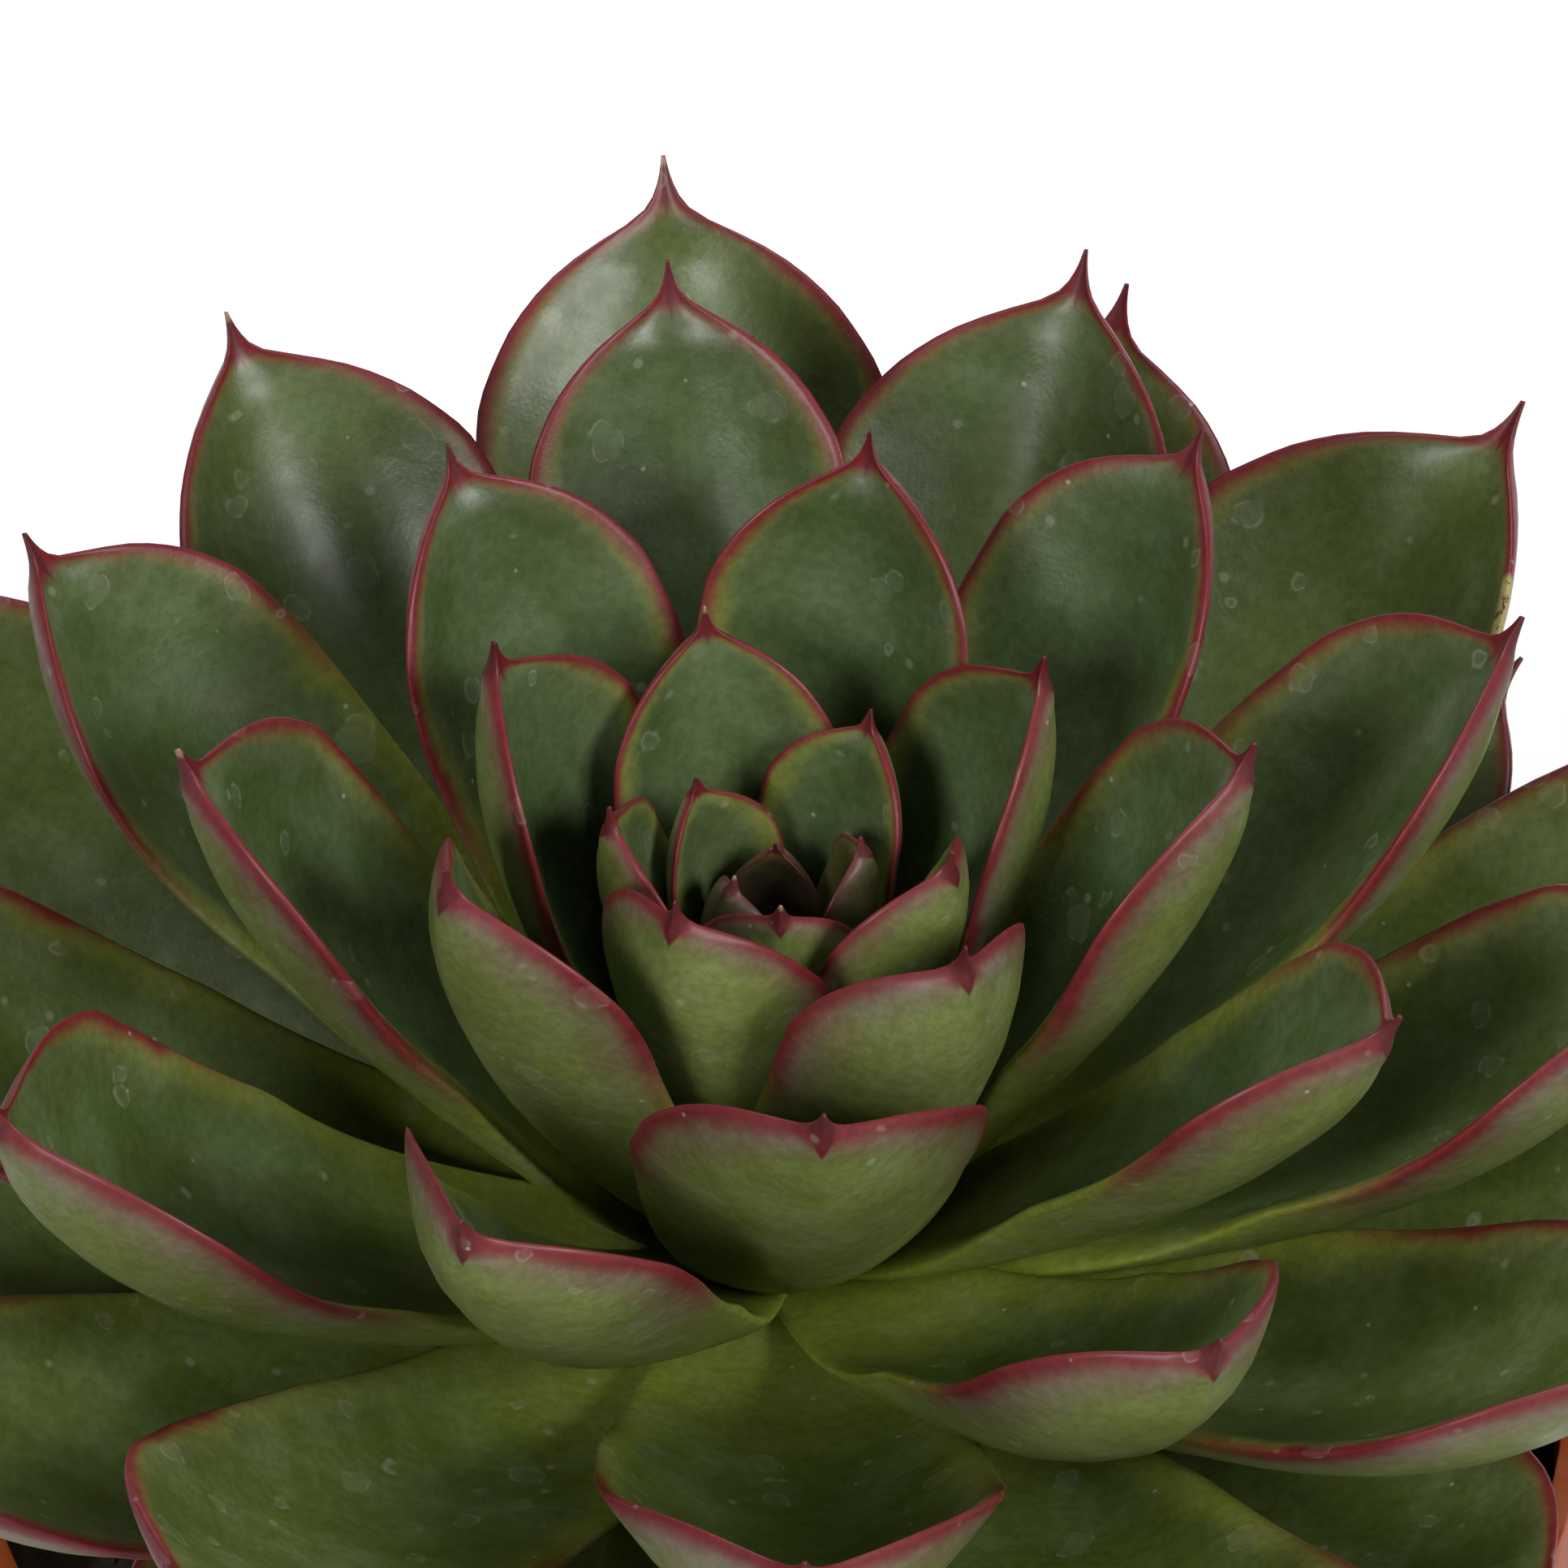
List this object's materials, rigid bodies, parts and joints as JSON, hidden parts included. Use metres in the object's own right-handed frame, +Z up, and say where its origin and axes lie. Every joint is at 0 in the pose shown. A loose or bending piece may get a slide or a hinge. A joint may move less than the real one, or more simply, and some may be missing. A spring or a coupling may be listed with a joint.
{
  "type": "potted succulent",
  "caption": "Rosette succulent with thick channelled leaves, red margins and stiff pointed tips, growing in soil in a round tapered terracotta-coloured plastic pot.",
  "frame": {"origin": "middle of the pot's flat underside", "axes": "+Z up along the pot's axis and the plant's stem, -Y towards the person looking at the plant"},
  "size_m": [0.1586, 0.1594, 0.1738],
  "materials": {
    "leaf": "satin",
    "pot": "satin",
    "soil": "matte"
  },
  "bodies": {
    "root": {"pot": "pot", "soil": "soil", "rosette": "leaf"}
  },
  "joints": []
}
